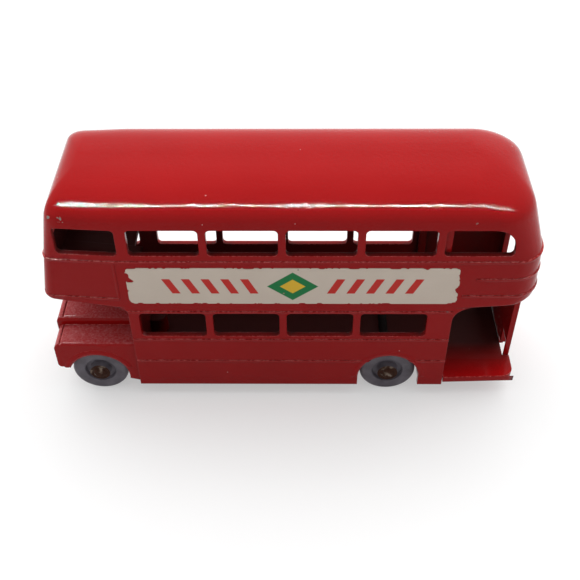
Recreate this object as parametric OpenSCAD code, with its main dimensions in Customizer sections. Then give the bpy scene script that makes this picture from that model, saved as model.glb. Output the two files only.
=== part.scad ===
// Die-cast toy double-decker bus with a half cab, open windows and an open rear platform.
// Frame: the front faces -X, the nearside with the platform faces -Y, and +Z is up.
// The origin lies on the ground under the middle of the overall length and width.

/* [Lengths] */
// Overall length, from the radiator to the upper deck's tail
body_len = 67.8; // [66:0.2:72]
// Length of the bonnet, from the radiator to the saloon bulkhead
bonnet_len = 11.9; // [11.5:0.1:12.6]
// Length of the rear platform and the overhang behind it
platform_len = 11.5; // [10.6:0.1:12]
// Width of the post ahead of the first lower window
front_post_w = 1.4; // [1:0.1:2]
// Width of the panel behind the last lower window
rear_panel_w = 3.4; // [3:0.1:4]
// Width of the pillars between the windows
pillar_w = 1; // [0.7:0.05:1.4]
// Windows in each side of the lower saloon
bay_count = 4; // [3:1:5]

/* [Widths] */
// Width across the side walls
body_w = 20.6; // [20:0.2:22]
// Thickness of the casting's walls
wall = 0.8; // [0.7:0.05:1.1]
// Opening in the rear, from the nearside wall to the rear wall's edge
platform_mouth = 4.75; // [4:0.05:6]
// Cab wall over the bonnet, from the middle of the bus towards the offside
cab_y = 0.8; // [0:0.1:2]
// Step from the side wall in to the nearside wing
wing_step = 0.45; // [0.2:0.05:0.8]
// Width of the nearside wing
wing_w = 3.9; // [3.4:0.1:4.4]

/* [Heights] */
// Ground clearance under the skirt
skirt_z = 2.3; // [1.8:0.1:2.8]
// Skirt to the lower window sills
waist_h = 10.25; // [9.9:0.05:11.2]
// Height of the lower windows
lower_win_h = 4.4; // [3.6:0.1:4.8]
// Lower window heads to the upper window sills
between_decks_h = 10.5; // [9.8:0.1:11.6]
// Height of the upper windows
upper_win_h = 4.2; // [3.6:0.1:4.6]
// Upper window heads to the spring of the roof
header_h = 0.25; // [0.2:0.05:0.6]
// Rise of the domed roof above its spring
roof_rise = 3.55; // [3:0.1:4.4]
// Wing crown above the front wheel arch
wing_crown = 1.9; // [1.6:0.05:2.2]
// Step from the wing up to the bonnet
bonnet_step = 1.35; // [1:0.05:1.8]

/* [Corners] */
// Corner radius of the windows
window_r = 0.6; // [0.3:0.05:1]
// Front corner radius in plan, below the windows
nose_r = 1.5; // [1:0.1:2]
// Front corner radius in plan, at the spring of the roof
nose_top_r = 2.2; // [1.6:0.1:3]
// Rear corner radius in plan, below the windows
tail_r = 3.9; // [3:0.1:5]
// Rear corner radius in plan, at the spring of the roof
tail_top_r = 5.6; // [4:0.1:8]
// Angle at which the front panels draw in, in degrees
nose_taper = 4; // [0:0.5:5]
// Lean of the upper-deck front from its lip back to the roof
nose_rake = 2; // [0:0.1:2.6]
// Lean of the upper-deck tail from its lip in to the roof
tail_rake = 1.7; // [0.5:0.1:2.4]
// Length over which the roof curves down at the front
roof_front_run = 3.4; // [3:0.2:6]
// Length over which the roof curves down at the rear
roof_rear_run = 6.5; // [5:0.5:10]

/* [Running gear] */
// Diameter of the wheels
wheel_d = 8.1; // [7.6:0.1:8.4]
// Width of the tyres
tyre_w = 2.8; // [2.2:0.1:3]
// Tyre face, in from the side wall
tyre_inset = 1.15; // [1:0.05:1.5]
// Diameter of the axles
axle_d = 1.3; // [1:0.05:1.6]
// Radial running clearance of the axles and wheels
running_gap = 0.06; // [0.03:0.01:0.1]
// Radiator to the front axle
front_overhang = 6; // [5.8:0.1:6.3]
// Rear axle to the platform
rear_axle_set = 8; // [7.6:0.1:8.8]
// Gap between a tyre and its arch
arch_gap = 0.38; // [0.3:0.02:0.8]
// Drop of the nearside wing's arch, which hangs over the top of the front tyre
wing_drop = 0.45; // [0.2:0.05:0.7]

/* [Base and transfers] */
// Thickness of the base plate
base_t = 1; // [0.8:0.05:1.2]
// Height of the base plate above the skirt's lower edge
base_lift = 0.4; // [0:0.05:0.6]
// Gap between the base plate and the casting's walls
base_gap = 0.15; // [0.1:0.05:0.3]
// Gap between the paper transfers and the raised line above them
transfer_head_gap = 0.75; // [0.4:0.05:1.2]
// Gap between the paper transfers and the raised line below them
transfer_foot_gap = 1.5; // [1:0.05:2]
// Gap between the front of the saloon and the paper transfers
transfer_front_gap = 0.5; // [0.3:0.05:2]
// Reach of the paper transfers past the front of the platform
transfer_reach = 0.2; // [0:0.05:0.4]
// Thickness of the paper transfers
transfer_t = 0.1; // [0.05:0.01:0.2]

/* [Hidden] */
$fn = 64;

// Overrun of every cut past the face it opens
overrun = 1;
// Least radius left on an inner corner
least_r = 0.3;
// Segments in each plan corner, and rings in the roof dome
corner_steps = 8;
roof_steps = 9;
// Exponent of the roof's section: 2 is an ellipse, more is squarer
roof_power = 2.6;
// Last ring of the dome, in degrees, where a flat crown closes it
crown_angle = 84;
// Largest rear corner radius, against half the ring's width
widest_share = 0.95;

// Raised lines along the panels
line_h = 0.32;
line_proud = 0.12;
waist_line_drop = 0.75;
skirt_line_rise = 5.1;
head_line_rise = 0.35;
sill_line_drop = 1.1;
lip_line_rise = 0.4;
tail_line_len = 9.2;

// Places along the bus
front_x = -body_len / 2;
rear_x = body_len / 2;
tail_x = rear_x - line_proud;
half_w = body_w / 2;
saloon_x = front_x + bonnet_len;
platform_x = rear_x - platform_len;
bank_x = saloon_x + front_post_w;
bank_len = platform_x - rear_panel_w - bank_x;
bay_pitch = (bank_len + pillar_w) / bay_count;
bay_w = bay_pitch - pillar_w;
front_axle_x = front_x + front_overhang;
rear_axle_x = platform_x - rear_axle_set;
axle_z = wheel_d / 2;
arch_r = wheel_d / 2 + arch_gap;

// Heights
lower_sill_z = skirt_z + waist_h;
lower_head_z = lower_sill_z + lower_win_h;
upper_sill_z = lower_head_z + between_decks_h;
upper_head_z = upper_sill_z + upper_win_h;
spring_z = upper_head_z + header_h;
wing_top_z = axle_z + arch_r + wing_crown;
bonnet_top_z = wing_top_z + bonnet_step;

// Upper deck: lip above the lower window heads, and its overhang at the ends
nose_lip_rise = 2.4;
nose_lip_fall = 1.3;
nose_fillet = 1.3;
nose_set = 0.7;
nose_turn = 0.6;
tail_turn = 0.9;
turn_rise = 1.2;
turn_h = 2.2;
nose_mid_share = 0.85;
tail_mid_share = 0.85;
belly_share = 0.15;
nose_panel_set = 0.8;
nose_win_set = 1.2;
nose_pillar_w = 1.45;
nose_low_x = front_x + nose_set;
nose_high_x = nose_low_x + nose_rake;
tail_high_x = tail_x - tail_rake;
cab_front_x = nose_low_x + nose_turn;
rear_wall_x = tail_x - tail_turn;
nose_x = saloon_x - nose_panel_set;
nose_lip_z = lower_head_z + nose_lip_rise;
turn_z = lower_head_z + turn_rise;
belly_z = upper_sill_z - sill_line_drop;
// Leans of the front and of the tail at the spring of the roof, which the dome takes up
nose_lean = nose_rake / (spring_z - turn_z - turn_h);
tail_lean = tail_rake * (1 - belly_share) / (spring_z - belly_z);

// Front and rear faces of the body against height: upright below, turned out at the upper
// deck's lip, and leaning in from there to the spring of the roof, the tail mostly above its belly
front_curve = [
    [skirt_z, cab_front_x],
    [turn_z, cab_front_x],
    [turn_z + turn_h / 2, cab_front_x - nose_turn * nose_mid_share],
    [turn_z + turn_h, nose_low_x],
    [belly_z, nose_low_x + nose_rake * (belly_z - turn_z - turn_h) / (spring_z - turn_z - turn_h)],
    [spring_z, nose_high_x]
];
rear_curve = [
    [skirt_z, rear_wall_x],
    [turn_z, rear_wall_x],
    [turn_z + turn_h / 2, rear_wall_x + tail_turn * tail_mid_share],
    [turn_z + turn_h, tail_x],
    [belly_z, tail_x - tail_rake * belly_share],
    [spring_z, tail_high_x]
];

// Platform doorway: rise of its head and the radius at its front post
door_head_rise = 2;
door_head_fall = 0.9;
door_r = 2.5;
rear_edge_y = platform_mouth - half_w;
// Notch at the foot of the rear wall, beside its nearside post, and its further reach below the base plate
notch_w = 2.3;
notch_h = 2.9;
notch_reach = 1.1;
notch_post_w = 0.25;

// Rear side windows: panel behind them, and their large top rear radius
tail_win_set = 4.9;
tail_win_r = 3;
// End windows: height, panel beside the front panes, half width of the upper rear window
end_win_h = 3.8;
end_win_lift = 0.1;
front_pane_edge = 2.7;
rear_pane_half = 5.2;
// Lower rear window: sill above the side sills, its height and its two edges
rear_win_lift = 0.1;
rear_win_h = 6.6;
rear_win_near = 1.6;
rear_win_far = 5.7;
// Cab windscreen and side window
screen_lift = 0.8;
screen_h = 5.2;
screen_edge = 0.5;
screen_side = 2.1;
cab_win_front = 2.4;
cab_win_rear = 1.4;
cab_roof_set = 0.5;

// Inner ribs at the rear of the saloon
rib_w = 1.1;
rib_depth = 0.9;
rib_bite = 0.1;

// Bonnet and wing
radiator_t = 1;
radiator_set = 0.15;
groove_w = 0.25;
groove_depth = 0.2;
bonnet_r = 0.8;
wing_set = 0.22;
wing_r = 1.1;
wing_tip_rise = 1.5;
wing_tip_z = axle_z + wing_tip_rise;
wing_tip_r = 0.6;
wing_tail_lift = 0.25;
wing_tail_z = skirt_z + wing_tail_lift;
wing_edge_r = 0.45;
wing_arch_z = axle_z - wing_drop;
wing_gap = 0.15;
apron_z = wing_tip_z - wall / 2;
apron_side = 2.4;
wing_lip_w = 0.95;
wing_lip_proud = 0.22;
rear_lip_w = 0.95;
rear_lip_proud = 0.12;
lip_bite = 0.3;
// Radiator grille slots and the headlamps
slot_count = 7;
slot_w = 0.4;
slot_depth = 0.3;
slot_top = 1;
slot_side = 1.2;
lamp_r = 0.85;
lamp_z = wing_top_z - wing_crown - lamp_r;

// Peened posts that hold the base plate
post_r = 1.6;
spigot_r = 1.1;
peen_r = 1.8;
peen_t = base_t / 2;
post_h = 3;
post_edge = 0.6;
front_post_x = saloon_x + wall + post_r / 2;
rear_post_x = rear_wall_x - wall - base_gap - peen_r - post_edge;
rear_post_y = half_w - wall - 2 * post_r;
base_z = skirt_z + base_lift;
base_top_z = base_z + base_t;

// Wheels and axles
tyre_y = half_w - tyre_inset;
tyre_back_y = tyre_y - tyre_w;
tyre_r = wheel_d / 2;
shoulder_r = 0.45;
dish_share = 0.56;
hub_share = 0.34;
dish_r = tyre_r * dish_share;
hub_r = tyre_r * hub_share;
dish_depth = 0.55;
hub_proud = 0.35;
tread_count = 40;
tread_depth = 0.12;
tread_share = 0.6;
axle_r = axle_d / 2;
head_share = 1.5;
head_r = axle_r * head_share;
head_t = 0.6;
end_play = 0.12;
axle_end_y = tyre_y + hub_proud + end_play;
lug_t = 1.2;
lug_gap = 0.3;
lug_r = axle_r + running_gap + wall;
well_gap = 0.5;

// Platform: its near edge, in from the side wall and drawn in further to the rear, its rear lip and corner
platform_set = 0.12;
platform_taper = 0.35;
platform_lip = 0.05;
platform_r = 1.7;

// Two-dimensional helpers

// Points of an arc about (cx, cy), both ends included
function arc_points(cx, cy, r, from, to) = [
    for (i = [0 : corner_steps])
        let (a = from + (to - from) * i / corner_steps)
            [cx + r * cos(a), cy + r * sin(a)]
];

// Plan of the upper deck: square-sided, drawn in at the front, with rounded corners
function plan_points(hw, fx, rx, fr, rr) =
    let (cx = fx + fr, cy = hw - (fr + sin(nose_taper) * (nose_x - cx)) / cos(nose_taper))
    concat(
        arc_points(rx - rr, rr - hw, rr, -90, 0),
        arc_points(rx - rr, hw - rr, rr, 0, 90),
        [[nose_x, hw]],
        arc_points(cx, cy, fr, 90 + nose_taper, 180),
        arc_points(cx, -cy, fr, 180, 270 - nose_taper),
        [[nose_x, -hw]]
    );

// Corner radii at a height: they grow from the belly up to the spring of the roof
function nose_corner(z) = lookup(z, [[belly_z, nose_r], [spring_z, nose_top_r]]);
function tail_corner(z) = lookup(z, [[belly_z, tail_r], [spring_z, tail_top_r]]);

// One ring of the loft: the plan, inset by a skin thickness and drawn in by the dome's share
function ring(z, fx, rx, skin, share) =
    let (
        keep = 1 - share,
        hw = (half_w - skin) * keep,
        fr = max(nose_corner(z) - skin, least_r) * keep,
        rr = min(max(tail_corner(z) - skin, least_r), hw * widest_share),
        x0 = fx + skin + roof_front_run * share,
        x1 = rx - skin - roof_rear_run * share
    )
    [for (p = plan_points(hw, x0, x1, fr, rr)) [p[0], p[1], z]];

// Rings from the foot to the crown, as a skin inside the outer face
function body_rings(foot_drop, skin) = concat(
    [
        for (i = [0 : len(front_curve) - 1])
            ring(front_curve[i][0] - (i == 0 ? foot_drop : 0), front_curve[i][1], rear_curve[i][1], skin, 0)
    ],
    [
        for (i = [1 : roof_steps])
            let (
                a = crown_angle * i / roof_steps,
                rise = (roof_rise - skin) * pow(sin(a), 2 / roof_power)
            )
                ring(
                    spring_z + rise,
                    nose_high_x + nose_lean * rise,
                    tail_high_x - tail_lean * rise,
                    skin,
                    1 - pow(cos(a), 2 / roof_power)
                )
    ]
);

// Rectangle from corner to corner; radii run from the low left corner round to the low right one
module rounded_window(x0, x1, z0, z1, radii) {
    corners = [[x0, z0], [x0, z1], [x1, z1], [x1, z0]];
    inward = [[1, 1], [1, -1], [-1, -1], [-1, 1]];
    difference() {
        translate([x0, z0]) square([x1 - x0, z1 - z0]);
        for (i = [0 : len(corners) - 1]) {
            corner_waste(corners[i], inward[i], radii[i]);
        }
    }
}

// What rounding a corner takes away
module corner_waste(corner, inward, r) {
    translate(corner) difference() {
        translate([min(0, inward[0]) * r, min(0, inward[1]) * r]) square(r);
        translate([inward[0] * r, inward[1] * r]) circle(r);
    }
}

// Side profile, drawn in X and Z, swept from y0 to y1
module across(y0, y1) {
    translate([0, y1, 0]) rotate([90, 0, 0]) linear_extrude(y1 - y0) children();
}

// End profile, drawn in Y and Z, swept from x0 to x1
module along(x0, x1) {
    translate([x0, 0, 0]) rotate([90, 0, 90]) linear_extrude(x1 - x0) children();
}

// Block from one corner to the other
module block(low, high) {
    translate(low) cube(high - low);
}

// Upright, tapered and domed solid of the whole upper body, as a skin inside the outer face
module body_loft(foot_drop, skin) {
    rings = body_rings(foot_drop, skin);
    count = len(rings[0]);
    last = len(rings) - 1;
    sides = [
        for (j = [0 : last - 1], i = [0 : count - 1], half = [0, 1])
            let (a = j * count + i, b = j * count + (i + 1) % count)
                half == 0 ? [a, a + count, b] : [b, a + count, b + count]
    ];
    foot = [[for (i = [0 : count - 1]) i]];
    crown = [[for (i = [count - 1 : -1 : 0]) last * count + i]];
    polyhedron([for (r = rings, p = r) p], concat(sides, foot, crown));
}

// Body casting

// Plan of the body at a height, grown by the raised lines
module line_plan(z) {
    fx = lookup(z, front_curve) - line_proud;
    rx = lookup(z, rear_curve) + line_proud;
    fr = nose_corner(z) + line_proud;
    rr = tail_corner(z) + line_proud;
    polygon(plan_points(half_w + line_proud, fx, rx, fr, rr));
}

// Raised line round the body, kept between two places along it
module raised_line(z, x0, x1) {
    translate([0, 0, z - line_h / 2]) linear_extrude(line_h) intersection() {
        line_plan(z);
        translate([x0, -body_w]) square([x1 - x0, 2 * body_w]);
    }
}

module raised_lines() {
    raised_line(upper_sill_z - sill_line_drop, front_x - overrun, rear_x + overrun);
    for (z = [lower_head_z + head_line_rise, lower_sill_z - waist_line_drop, skirt_z + skirt_line_rise]) {
        raised_line(z, saloon_x, platform_x);
    }
    raised_line(nose_lip_z + lip_line_rise, front_x - overrun, nose_x);
    raised_line(turn_z + turn_h, platform_x + nose_panel_set, rear_x + overrun);
    raised_line((turn_z + turn_h + belly_z) / 2, rear_x - tail_line_len, rear_x + overrun);
}

// Upright seams where the front panels begin to draw in
module nose_seams() {
    for (side = [-1, 1]) {
        inner = side * (half_w - line_proud);
        outer = side * (half_w + line_proud / 2);
        block(
            [nose_x - line_h / 2, min(inner, outer), nose_lip_z + lip_line_rise],
            [nose_x + line_h / 2, max(inner, outer), belly_z]
        );
    }
}

// Hollow of the casting, less the walls that stand inside it
module body_core() {
    difference() {
        body_loft(overrun, wall);
        intersection() {
            across(-body_w, cab_y + wall) recess_profile(wall);
            block([front_x, -body_w, base_top_z], [saloon_x + wall, body_w, spring_z]);
        }
        cab_roof();
    }
}

// Side profile of the space over the bonnet, or of the skin round that space
module recess_profile(skin) {
    x = saloon_x + skin;
    lip_z = nose_lip_z + skin;
    difference() {
        polygon([
            [front_x - overrun, -overrun],
            [front_x - overrun, lip_z],
            [nose_low_x, lip_z],
            [x, lip_z - nose_lip_fall],
            [x, -overrun]
        ]);
        corner_waste([x, lip_z - nose_lip_fall], [-1, -1], nose_fillet + skin);
    }
}

// Ceiling of the cab, in line with the ceiling over the bonnet
module cab_roof() {
    x = saloon_x - cab_roof_set;
    slope = nose_lip_fall / (saloon_x - nose_low_x);
    across(cab_y, body_w) polygon([
        [front_x, nose_lip_z + slope * nose_set],
        [front_x, nose_lip_z + slope * nose_set + wall],
        [x, nose_lip_z - slope * (x - nose_low_x) + wall],
        [x, nose_lip_z - slope * (x - nose_low_x)]
    ]);
}

// Ribs up the inside of both walls, behind the last side pillar
module saloon_ribs() {
    x0 = bank_x + bay_count * bay_pitch - rib_bite;
    for (side = [-1, 1]) {
        outer = side * (half_w - wall + rib_bite);
        inner = side * (half_w - wall - rib_depth);
        block(
            [x0, min(inner, outer), base_top_z + base_gap],
            [x0 + rib_w, max(inner, outer), spring_z]
        );
    }
}

// Side windows, cut through both walls
module side_windows() {
    even = [window_r, window_r, window_r, window_r];
    tail = [window_r, window_r, tail_win_r, window_r];
    across(-body_w, body_w) {
        for (i = [0 : bay_count - 1]) {
            x0 = bank_x + i * bay_pitch;
            rounded_window(x0, x0 + bay_w, lower_sill_z, lower_head_z, even);
            rounded_window(x0, x0 + bay_w, upper_sill_z, upper_head_z, even);
        }
        nose_win_x = nose_high_x + nose_win_set;
        tail_win_x = bank_x + bay_count * bay_pitch;
        rounded_window(nose_win_x, bank_x - nose_pillar_w, upper_sill_z, upper_head_z, even);
        rounded_window(tail_win_x, rear_x - tail_win_set, upper_sill_z, upper_head_z, tail);
    }
}

// Windows in the front and rear walls
module end_windows() {
    even = [window_r, window_r, window_r, window_r];
    sill = upper_sill_z + end_win_lift;
    head = sill + end_win_h;
    along(front_x - overrun, nose_high_x + wall + overrun) {
        for (side = [-1, 1]) {
            inner = side * pillar_w / 2;
            outer = side * (half_w - front_pane_edge);
            rounded_window(min(inner, outer), max(inner, outer), sill, head, even);
        }
        rounded_window(
            cab_y + wall + screen_edge,
            half_w - screen_side,
            lower_sill_z + screen_lift,
            lower_sill_z + screen_lift + screen_h,
            even
        );
    }
    along(tail_high_x - wall - overrun, rear_x + overrun) {
        rounded_window(-rear_pane_half, rear_pane_half, sill, head, even);
        rounded_window(
            rear_edge_y + rear_win_near,
            rear_win_far,
            lower_sill_z + rear_win_lift,
            lower_sill_z + rear_win_lift + rear_win_h,
            even
        );
    }
}

// Driver's side window, in the offside wall only
module cab_window() {
    across(0, body_w) rounded_window(
        nose_low_x + cab_win_front,
        saloon_x - cab_win_rear,
        lower_sill_z,
        lower_head_z,
        [window_r, window_r, window_r, window_r]
    );
}

// Space over the bonnet, below the upper deck's lip
module bonnet_recess() {
    across(-body_w, cab_y) recess_profile(0);
}

// Doorway of the rear platform, open round the nearside rear corner
module platform_doorway() {
    head_z = lower_head_z + door_head_rise;
    across(-body_w, rear_edge_y) difference() {
        polygon([
            [platform_x, -overrun],
            [platform_x, head_z - door_head_fall],
            [rear_x, head_z],
            [rear_x + overrun, head_z],
            [rear_x + overrun, -overrun]
        ]);
        corner_waste([platform_x, head_z - door_head_fall], [1, -1], door_r);
    }
    along(rear_wall_x - wall - overrun, rear_x + overrun) polygon([
        [rear_edge_y + notch_post_w, base_top_z + notch_h],
        [rear_edge_y + notch_post_w + notch_w, base_top_z + notch_h],
        [rear_edge_y + notch_post_w + notch_w, base_top_z],
        [rear_edge_y + notch_post_w + notch_w + notch_reach, base_top_z],
        [rear_edge_y + notch_post_w + notch_w + notch_reach, -overrun],
        [rear_edge_y + notch_post_w, -overrun]
    ]);
}

// Arches over the wheels, and the open front below the apron
module wheel_arches() {
    across(-body_w, body_w) {
        for (x = [front_axle_x, rear_axle_x]) {
            translate([x, axle_z]) circle(arch_r);
            translate([x - arch_r, -overrun]) square([2 * arch_r, axle_z + overrun]);
        }
    }
    block([front_x - overrun, -body_w, -overrun], [front_axle_x, body_w, apron_z]);
}

// Side profile of the nearside wing, with the arch that hangs over the tyre
module wing_profile() {
    wing_x = front_x + wing_set;
    difference() {
        polygon([
            [saloon_x + wall / 2, wing_tail_z],
            [saloon_x + wall / 2, wing_top_z],
            [wing_x, wing_top_z],
            [wing_x, wing_tip_z],
            [wing_x + wall, wing_tip_z]
        ]);
        corner_waste([wing_x, wing_top_z], [1, -1], wing_r);
        corner_waste([wing_x, wing_tip_z], [1, 1], wing_tip_r);
        translate([front_axle_x, wing_arch_z]) circle(arch_r);
    }
}

// Nearside wing, rounded along its outer edge, hollowed, and cut clear of the tyre and the base plate
module wing() {
    wing_x = front_x + wing_set;
    wing_y = half_w - wing_step;
    difference() {
        intersection() {
            across(-wing_y, wing_w - wing_y + wall) wing_profile();
            along(wing_x - overrun, saloon_x + wall) difference() {
                translate([-wing_y, 0]) square([wing_w + wall, wing_top_z]);
                corner_waste([-wing_y, wing_top_z], [1, -1], wing_edge_r);
            }
        }
        block([wing_x + wall, wall - wing_y, -overrun], [saloon_x - wall, half_w, wing_top_z - wall]);
        block([wing_x + wall, wall - wing_y, -overrun], [saloon_x + wall, half_w, base_top_z + base_gap]);
        across(-tyre_y - wing_gap, half_w) translate([front_axle_x, axle_z]) circle(arch_r);
    }
    arch_lip([front_axle_x, wing_arch_z], -1, wing_y, wing_lip_w, wing_lip_proud, wing_tip_z);
}

// Rounded lip round the upper part of an arch, standing proud of a side face
module arch_lip(centre, side, face_y, w, proud, foot_z) {
    bead_r = (w * w / 4 + proud * proud) / (2 * proud);
    intersection() {
        translate([centre[0], side * face_y, centre[1]]) rotate([-90 * side, 0, 0])
            rotate_extrude() intersection() {
                translate([arch_r + w / 2, proud - bead_r]) circle(bead_r);
                translate([arch_r, -lip_bite]) square([w, lip_bite + proud]);
            }
        block([centre[0] - 2 * arch_r, -body_w, foot_z], [centre[0] + 2 * arch_r, body_w, spring_z]);
    }
}

// Lips of the rear arches, in both walls
module rear_arch_lips() {
    for (side = [-1, 1]) {
        arch_lip([rear_axle_x, axle_z], side, half_w, rear_lip_w, rear_lip_proud, axle_z);
    }
}

// Bonnet with its radiator, rounded along its nearside and front edges
module bonnet() {
    near_y = wing_step + wing_w - half_w;
    nose = front_x + radiator_set;
    end_x = saloon_x + wall / 2;
    difference() {
        intersection() {
            along(nose, end_x) difference() {
                translate([near_y, apron_z]) square([cab_y + wall / 2 - near_y, bonnet_top_z - apron_z]);
                corner_waste([near_y, bonnet_top_z], [1, -1], bonnet_r);
            }
            across(-body_w, body_w) difference() {
                translate([nose, apron_z]) square([end_x - nose, bonnet_top_z - apron_z]);
                corner_waste([nose, bonnet_top_z], [1, -1], bonnet_r);
            }
        }
        block([nose + wall, near_y - overrun, -overrun], [saloon_x, body_w, wing_top_z - wall]);
        block([nose + wall, near_y + wall, -overrun], [saloon_x, body_w, bonnet_top_z - wall]);
    }
}

// Offside front panel below the windscreen
module apron() {
    across(cab_y, half_w - apron_side) difference() {
        translate([front_x + wing_set, apron_z]) square([wall, lower_sill_z - apron_z]);
        corner_waste([front_x + wing_set, lower_sill_z], [1, -1], bonnet_r);
    }
}

// Seam behind the radiator, across the tops of the bonnet and the wing
module radiator_seam() {
    near_y = wing_step + wing_w - half_w;
    x = front_x + radiator_t;
    block([x, near_y, bonnet_top_z - groove_depth], [x + groove_w, cab_y, bonnet_top_z + overrun]);
    block([x, -body_w, wing_top_z - groove_depth], [x + groove_w, near_y, wing_top_z + groove_depth]);
}

// Upright slots in the radiator
module grille_slots() {
    y0 = wing_step + wing_w - half_w + slot_side;
    head_z = bonnet_top_z - slot_top - bonnet_r;
    pitch = (cab_y - slot_side - slot_w - y0) / (slot_count - 1);
    for (i = [0 : slot_count - 1]) {
        block(
            [front_x - overrun, y0 + i * pitch, apron_z + slot_top],
            [front_x + radiator_set + slot_depth, y0 + i * pitch + slot_w, head_z]
        );
    }
}

// Domed headlamps on the wing and on the offside panel
module headlamps() {
    for (y = [wing_step + wing_w / 2 - half_w, half_w - apron_side - lamp_r - wall / 2]) {
        translate([front_x + wing_set, y, lamp_z]) intersection() {
            translate([lamp_r - wing_set, 0, 0]) sphere(lamp_r);
            block([-wing_set, -lamp_r, -lamp_r], [wall / 2, lamp_r, lamp_r]);
        }
    }
}

// Posts under the casting, stepped to seat on the base plate and peened in its recesses
module posts() {
    for (p = [[front_post_x, 0], [rear_post_x, rear_post_y]]) {
        translate([p[0], p[1], 0]) {
            translate([0, 0, base_top_z]) cylinder(h = post_h, r = post_r);
            translate([0, 0, base_z]) cylinder(h = base_t, r = spigot_r);
            translate([0, 0, base_z]) cylinder(h = peen_t, r1 = peen_r - peen_t, r2 = peen_r);
        }
    }
}

module body_casting() {
    color("firebrick") union() {
        difference() {
            union() {
                body_loft(0, 0);
                raised_lines();
                nose_seams();
                rear_arch_lips();
            }
            body_core();
            side_windows();
            end_windows();
            cab_window();
            bonnet_recess();
            platform_doorway();
            wheel_arches();
        }
        difference() {
            union() {
                wing();
                bonnet();
                apron();
            }
            radiator_seam();
            grille_slots();
        }
        headlamps();
        saloon_ribs();
        posts();
        post_webs();
    }
}

// Webs that tie the posts to the walls beside them
module post_webs() {
    z = base_top_z;
    block(
        [saloon_x + wall / 2, -post_r / 2, z],
        [front_post_x, post_r / 2, z + post_h]
    );
    block(
        [rear_post_x, rear_post_y - post_r / 2, z],
        [rear_wall_x - wall / 2, rear_post_y + post_r / 2, z + post_h]
    );
}

// Base plate

// Plan of the plate: inside the walls, full width and rounded at the platform
module base_plan() {
    edge = half_w - wall - base_gap;
    narrow = tyre_back_y - lug_gap;
    floor_x = saloon_x + wall + base_gap;
    inner_x = rear_wall_x - wall - base_gap;
    platform_front = platform_x + base_gap;
    platform_rear = rear_wall_x + platform_lip;
    near_y = platform_set - half_w;
    difference() {
        union() {
            translate([floor_x, -edge]) square([inner_x - floor_x, 2 * edge]);
            translate([front_x + wall + base_gap, -narrow]) square([bonnet_len, 2 * narrow]);
            difference() {
                polygon([
                    [platform_front, near_y],
                    [platform_rear, near_y + platform_taper],
                    [platform_rear, rear_edge_y - base_gap],
                    [platform_front, rear_edge_y - base_gap]
                ]);
                corner_waste([platform_rear, near_y + platform_taper], [-1, 1], platform_r);
            }
        }
        for (side = [-1, 1]) {
            well_y = side * (half_w + narrow) / 2;
            well_len = wheel_d + 2 * well_gap;
            translate([rear_axle_x, well_y]) square([well_len, half_w - narrow], center = true);
        }
        corner_waste([inner_x, edge], [-1, -1], tail_r - wall);
    }
}

// Upright lugs that carry an axle
module axle_lugs(x) {
    for (side = [-1, 1]) {
        y = side * (tyre_back_y - lug_gap - lug_t / 2);
        foot_z = base_z + base_t / 2;
        across(y - lug_t / 2, y + lug_t / 2) {
            translate([x - lug_r, foot_z]) square([2 * lug_r, axle_z - foot_z]);
            intersection() {
                translate([x, axle_z]) circle(lug_r);
                translate([x - lug_r, foot_z]) square(2 * lug_r);
            }
        }
    }
}

module base_plate() {
    color("firebrick") difference() {
        union() {
            translate([0, 0, base_z]) linear_extrude(base_t) base_plan();
            axle_lugs(front_axle_x);
            axle_lugs(rear_axle_x);
        }
        for (x = [front_axle_x, rear_axle_x]) {
            translate([x, 0, axle_z]) rotate([90, 0, 0])
                cylinder(h = body_w, r = axle_r + running_gap, center = true);
        }
        for (p = [[front_post_x, 0], [rear_post_x, rear_post_y]]) {
            translate([p[0], p[1], base_z - overrun]) {
                cylinder(h = base_t + 2 * overrun, r = spigot_r + running_gap);
                cylinder(h = peen_t + overrun, r = peen_r + running_gap);
            }
        }
    }
}

// Wheels and axles

// Half section of an axle: a straight pin with a domed, peened end
module axle_section() {
    dome_r = (head_r * head_r + head_t * head_t) / (2 * head_t);
    square([axle_r, axle_end_y]);
    intersection() {
        translate([0, axle_end_y + head_t - dome_r]) circle(dome_r);
        translate([0, axle_end_y]) square([head_r, head_t]);
    }
}

module axle(x) {
    translate([x, 0, axle_z]) rotate([90, 0, 0]) {
        rotate_extrude() axle_section();
        mirror([0, 0, 1]) rotate_extrude() axle_section();
    }
}

// Half section of a wheel, drawn as radius and distance out from the tyre's back face
module wheel_section() {
    bore_r = axle_r + running_gap;
    difference() {
        translate([dish_r, 0]) square([tyre_r - dish_r, tyre_w]);
        corner_waste([tyre_r, 0], [-1, 1], shoulder_r);
        corner_waste([tyre_r, tyre_w], [-1, -1], shoulder_r);
    }
    translate([bore_r, dish_depth]) square([dish_r - bore_r + shoulder_r, tyre_w - 2 * dish_depth]);
    translate([bore_r, 0]) square([hub_r - bore_r, tyre_w + hub_proud]);
}

// Outline of the tread: a ring of shallow blocks, one of them at the ground
module tread_outline() {
    step = 360 / tread_count;
    half_block = step * tread_share / 2;
    polygon([
        for (i = [0 : tread_count - 1], edge = [-1, 1], level = edge < 0 ? [1, 0] : [0, 1])
            let (
                a = i * step - 90 + edge * half_block,
                r = (tyre_r + tread_depth) / cos(half_block) - 2 * level * tread_depth
            )
            [r * cos(a), r * sin(a)]
    ]);
}

// Wheel on the nearside (-1) or the offside (1)
module wheel(x, side) {
    h = tyre_w + hub_proud + 2 * overrun;
    color("dimgray") translate([x, side * tyre_back_y, axle_z]) rotate([-90 * side, 0, 0]) intersection() {
        rotate_extrude() wheel_section();
        translate([0, 0, -overrun]) linear_extrude(h) rotate([0, 0, 90 * (1 + side)]) tread_outline();
    }
}

module front_axle() {
    color("sienna") axle(front_axle_x);
}

module rear_axle() {
    color("sienna") axle(rear_axle_x);
}

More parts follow.
